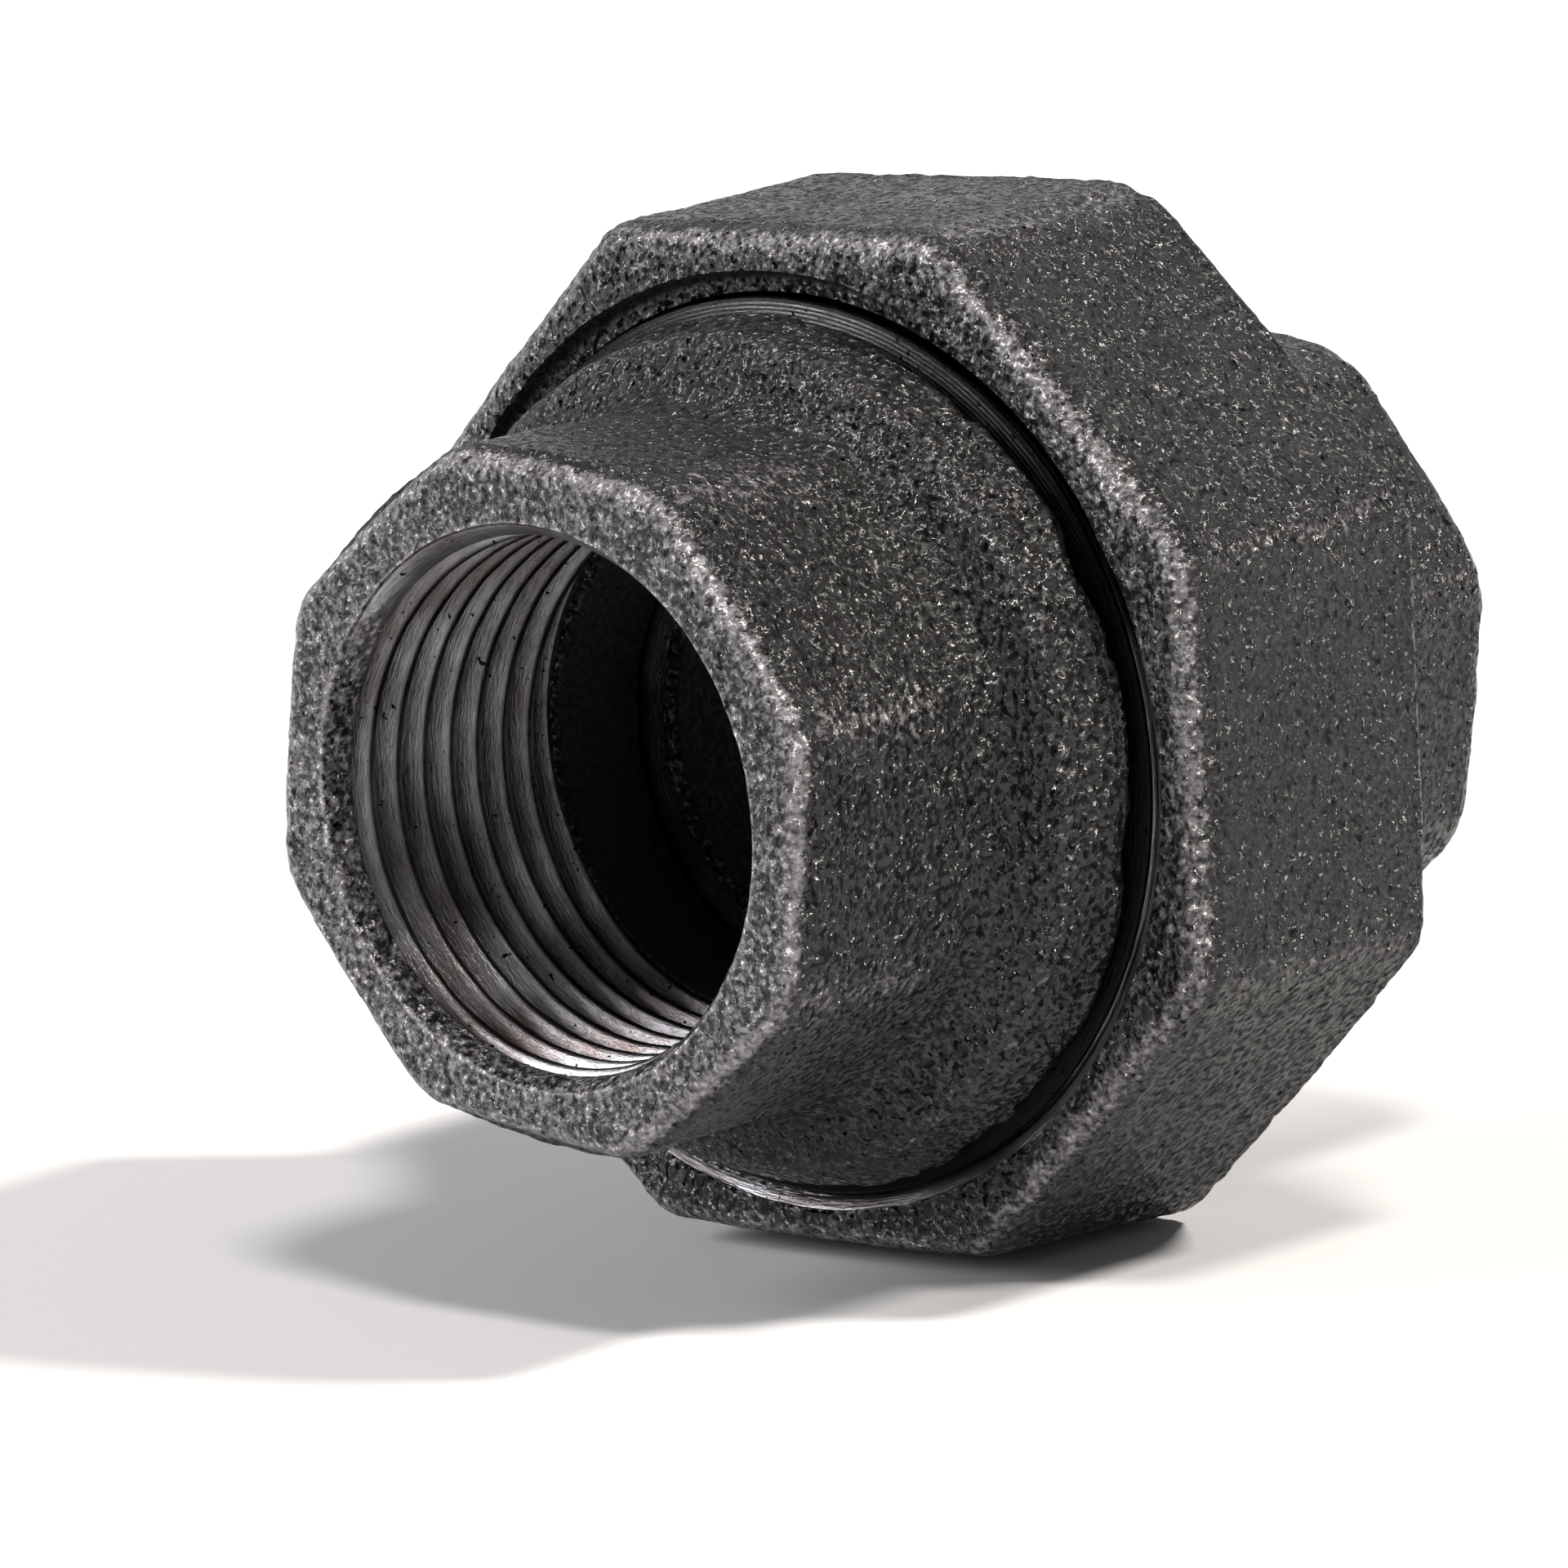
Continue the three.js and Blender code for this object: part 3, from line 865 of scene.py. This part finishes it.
def lathe_place(nodes):
    """Coordinates in which noise is drawn out into fine rings round the pipe axis."""
    split = nodes.make("ShaderNodeSeparateXYZ")
    nodes.feed(split.inputs[0], nodes.place)
    x, y, z = split.outputs
    squares = nodes.math("ADD", nodes.math("MULTIPLY", y, y), nodes.math("MULTIPLY", z, z))
    joined = nodes.make("ShaderNodeCombineXYZ")
    nodes.feed(joined.inputs["X"], nodes.math("MULTIPLY", x, RING_STRETCH))
    off_axis = nodes.math("SQRT", squares)
    nodes.feed(joined.inputs["Y"], nodes.math("MULTIPLY", off_axis, RING_STRETCH))
    turn = nodes.math("ARCTAN2", y, z)
    nodes.feed(joined.inputs["Z"], nodes.math("MULTIPLY", turn, RING_TURN))
    return joined.outputs[0]


def skin_shading(nodes, grains, clots, wear):
    """The colour, roughness and shine of the sand-cast skin: black, with crumbs of bare iron
    that shine where the wear value is high, from rubbing and from painted light, and painted
    shade, near black and dull, where the light hardly reaches."""
    crumbs, _ = nodes.noise(nodes.place, CRUMB_SCALE, 3.0, 0.62)
    crumb_share = nodes.math("MULTIPLY", wear, CRUMB_PER_WEAR)
    crumb_share = nodes.math("ADD", crumb_share, nodes.math("MULTIPLY", clots, CRUMB_PER_CLOT))
    bright = nodes.math("ADD", crumbs, nodes.math("SUBTRACT", crumb_share, CRUMB_LEVEL))
    bright = nodes.math("MULTIPLY", bright, CRUMB_CONTRAST, clamp=True)
    # painted shade: a wear value below 0 mixes the skin towards near black and dull
    in_light = nodes.step(wear, DEEP_SHADE, 0.0)

    patches, _ = nodes.noise(nodes.place, PATCH_SCALE, 3.0)
    black = nodes.ramp(patches, (0.3, BLACK_BROWN), (0.7, BLACK_GREY))
    black = nodes.mix(nodes.step(grains, 0.50, 0.34), black, GRAIN_PIT)
    colour = nodes.mix(in_light, SHADE_AND_MARK_BLACK, nodes.mix(bright, black, BARE_IRON))

    rough = nodes.mix(nodes.step(grains, 0.36, 0.52), ROUGH_PITS, ROUGH_GRAINS, "FLOAT")
    rough = nodes.mix(bright, rough, ROUGH_BARE, "FLOAT")
    rough = nodes.mix(in_light, ROUGH_IN_SHADE, rough, "FLOAT")
    return colour, rough, nodes.math("MULTIPLY", bright, TURNED_METALLIC)


def metal_shading(nodes, wear):
    """The colour, roughness and height of turned metal: fine rings round the axis, under a
    film that is brown in places, and a few pits."""
    rings, _ = nodes.noise(lathe_place(nodes), RING_SCALE, 3.0, 0.75)
    film, _ = nodes.noise(nodes.place, FILM_SCALE, 4.0)
    pitting, _ = nodes.noise(nodes.place, PIT_SCALE, 2.0)
    pits = nodes.step(pitting, 0.70, 0.75)
    colour = nodes.ramp(film, (0.32, FILM_BROWN), (0.50, FILM_GREY), (0.66, FILM_BRIGHT))
    ring_colour = nodes.mix(0.36, colour, SHADE_AND_MARK_BLACK)
    colour = nodes.mix(nodes.step(rings, 0.30, 0.62), ring_colour, colour)
    # painted shade: turned metal goes near black where the wear value is low, as in thread
    # roots, bores and the ring
    colour = nodes.mix(nodes.step(wear, 0.95, 0.0), colour, SHADE_AND_MARK_BLACK)
    colour = nodes.mix(pits, colour, SHADE_AND_MARK_BLACK)
    height = nodes.math("SUBTRACT", nodes.math("MULTIPLY", rings, 0.12), pits)
    return colour, nodes.mix(film, *ROUGH_METAL, "FLOAT"), height


def grain_normal(nodes, is_cast, height):
    """The relief's normal, to which each grain of the cast skin adds its own lean."""
    bump = nodes.make("ShaderNodeBump")
    bump.inputs["Strength"].default_value = BUMP_STRENGTH
    bump.inputs["Distance"].default_value = BUMP_DISTANCE
    nodes.feed(bump.inputs["Height"], height)
    _, lean = nodes.noise(nodes.place, LEAN_SCALE, 0.0)
    tilt = nodes.vector("SUBTRACT", lean, (0.5, 0.5, 0.5))
    scaled = nodes.make("ShaderNodeVectorMath", operation="SCALE")
    nodes.feed(scaled.inputs[0], tilt)
    nodes.feed(scaled.inputs["Scale"], nodes.math("MULTIPLY", is_cast, GRAIN_LEAN))
    leaning = nodes.vector("ADD", bump.outputs["Normal"], scaled.outputs[0])
    normal = nodes.make("ShaderNodeVectorMath", operation="NORMALIZE")
    nodes.feed(normal.inputs[0], leaning)
    return normal.outputs[0]


def iron_material(name):
    """Black cast skin where the cast attribute is 1, dark turned metal where it is 0."""
    nodes = Nodes(name)
    # wear, painted light and painted shade, all in one attribute
    wear = nodes.attribute("wear")
    is_cast = nodes.step(nodes.attribute("cast"), 0.1, 0.35)
    grains, _ = nodes.noise(nodes.place, GRAIN_SCALE, 1.5, 0.5)
    clots, _ = nodes.noise(nodes.place, CLOT_SCALE, 3.0, 0.6)
    skin_colour, skin_rough, skin_shine = skin_shading(nodes, grains, clots, wear)
    metal_colour, metal_rough, cut_marks = metal_shading(nodes, wear)
    lumps = nodes.math("ADD", nodes.math("MULTIPLY", clots, 0.6), grains)
    height = nodes.mix(is_cast, cut_marks, lumps, "FLOAT")

    sockets = nodes.shader.inputs
    nodes.feed(sockets["Base Color"], nodes.mix(is_cast, metal_colour, skin_colour))
    nodes.feed(sockets["Roughness"], nodes.mix(is_cast, metal_rough, skin_rough, "FLOAT"))
    shine = nodes.mix(is_cast, TURNED_METALLIC, skin_shine, "FLOAT")
    nodes.feed(sockets["Metallic"], shine)
    sockets["IOR"].default_value = IRON_IOR
    nodes.feed(sockets["Normal"], grain_normal(nodes, is_cast, height))
    return nodes.material


# ---- studio ----------------------------------------------------------------------------

VIEW_AZIMUTH = math.radians(40.57)  # from +X towards +Y
VIEW_ELEVATION = math.radians(9.51)
VIEW_ROLL = math.radians(-3.04)
VIEW_DISTANCE = 382.8
VIEW_AIM = Vector((3.95, -3.94, -2.60))
LENS = 187.4
SENSOR_WIDTH = 36.0
WARM = (1.0, 0.955, 0.90)
COOL = (0.975, 0.96, 1.0)
# name, azimuth, elevation and softness in degrees, strength, colour
SUNS = (
    ("key", 55, 62, 10, 2.4, WARM),
    ("side", 118, 50, 6, 4.4, WARM),
    ("front", -43, 25, 32, 3.6, COOL),
    ("back", 220, 22, 60, 0.3, COOL),
)
SKY_SHADES = ((0.1, 0.41), (0.7, 0.22))  # (height, shade) near the horizon and overhead
FLOOR_SHADE = 0.53
FLOOR_SIDE = 4.0  # metres from its middle to its edges
FLOOR_GAP = 0.0003  # metres, so that the nut's rough flat stays clear of the floor


def direction(azimuth, elevation):
    flat = math.cos(elevation)
    return Vector((math.cos(azimuth) * flat, math.sin(azimuth) * flat, math.sin(elevation)))


def add_camera():
    data = bpy.data.cameras.new("camera")
    data.lens = LENS
    data.sensor_width = SENSOR_WIDTH
    data.clip_start, data.clip_end = 0.01, 20.0
    camera = bpy.data.objects.new("camera", data)
    back = direction(VIEW_AZIMUTH, VIEW_ELEVATION)
    aim = (-back).to_track_quat("-Z", "Y").to_matrix().to_4x4()
    place = Matrix.Translation((VIEW_AIM + back * VIEW_DISTANCE) * MM)
    camera.matrix_world = place @ aim @ Matrix.Rotation(VIEW_ROLL, 4, "Z")
    bpy.context.scene.collection.objects.link(camera)
    bpy.context.scene.camera = camera


def add_light(name, azimuth, elevation, softness, strength, colour):
    data = bpy.data.lights.new(name, "SUN")
    data.angle = math.radians(softness)
    data.energy = strength
    data.color = colour
    light = bpy.data.objects.new(name, data)
    back = direction(math.radians(azimuth), math.radians(elevation))
    light.location = back
    light.rotation_mode = "QUATERNION"
    light.rotation_quaternion = (-back).to_track_quat("-Z", "Y")
    bpy.context.scene.collection.objects.link(light)


def studio_world():
    """Pale all round, brighter towards the horizon than overhead."""
    world = bpy.data.worlds.new("studio")
    world.use_nodes = True
    tree = world.node_tree
    split = tree.nodes.new("ShaderNodeSeparateXYZ")
    tree.links.new(tree.nodes.new("ShaderNodeTexCoord").outputs["Generated"], split.inputs[0])
    sky = tree.nodes.new("ShaderNodeValToRGB")
    for element, (height, shade) in zip(sky.color_ramp.elements, SKY_SHADES):
        element.position = height
        element.color = (0.98 * shade, 0.97 * shade, shade, 1.0)
    tree.links.new(split.outputs["Z"], sky.inputs["Fac"])
    tree.links.new(sky.outputs["Color"], tree.nodes["Background"].inputs["Color"])
    return world


def add_studio():
    material = bpy.data.materials.new("floor_paint")
    material.use_nodes = True
    shader = material.node_tree.nodes["Principled BSDF"]
    shader.inputs["Base Color"].default_value = (FLOOR_SHADE,) * 3 + (1.0,)
    shader.inputs["Roughness"].default_value = 0.9
    shader.inputs["Specular IOR Level"].default_value = 0.0
    side = FLOOR_SIDE
    mesh = bpy.data.meshes.new("floor")
    corners = [(-side, -side, 0), (side, -side, 0), (side, side, 0), (-side, side, 0)]
    mesh.from_pydata(corners, [], [(0, 1, 2, 3)])
    mesh.materials.append(material)
    floor = bpy.data.objects.new("floor", mesh)
    floor.location.z = cad_low.z - FLOOR_GAP
    bpy.context.scene.collection.objects.link(floor)
    bpy.context.scene.world = studio_world()
    bpy.context.scene.view_settings.view_transform = "Standard"
    for sun in SUNS:
        add_light(*sun)


# ---- the scene -------------------------------------------------------------------------

iron = iron_material("black_iron")
for body, make in (("head", make_head), ("tail", make_tail), ("nut", make_nut)):
    piece = make(iron)
    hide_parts(body)
    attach(piece, body)

add_camera()
add_studio()
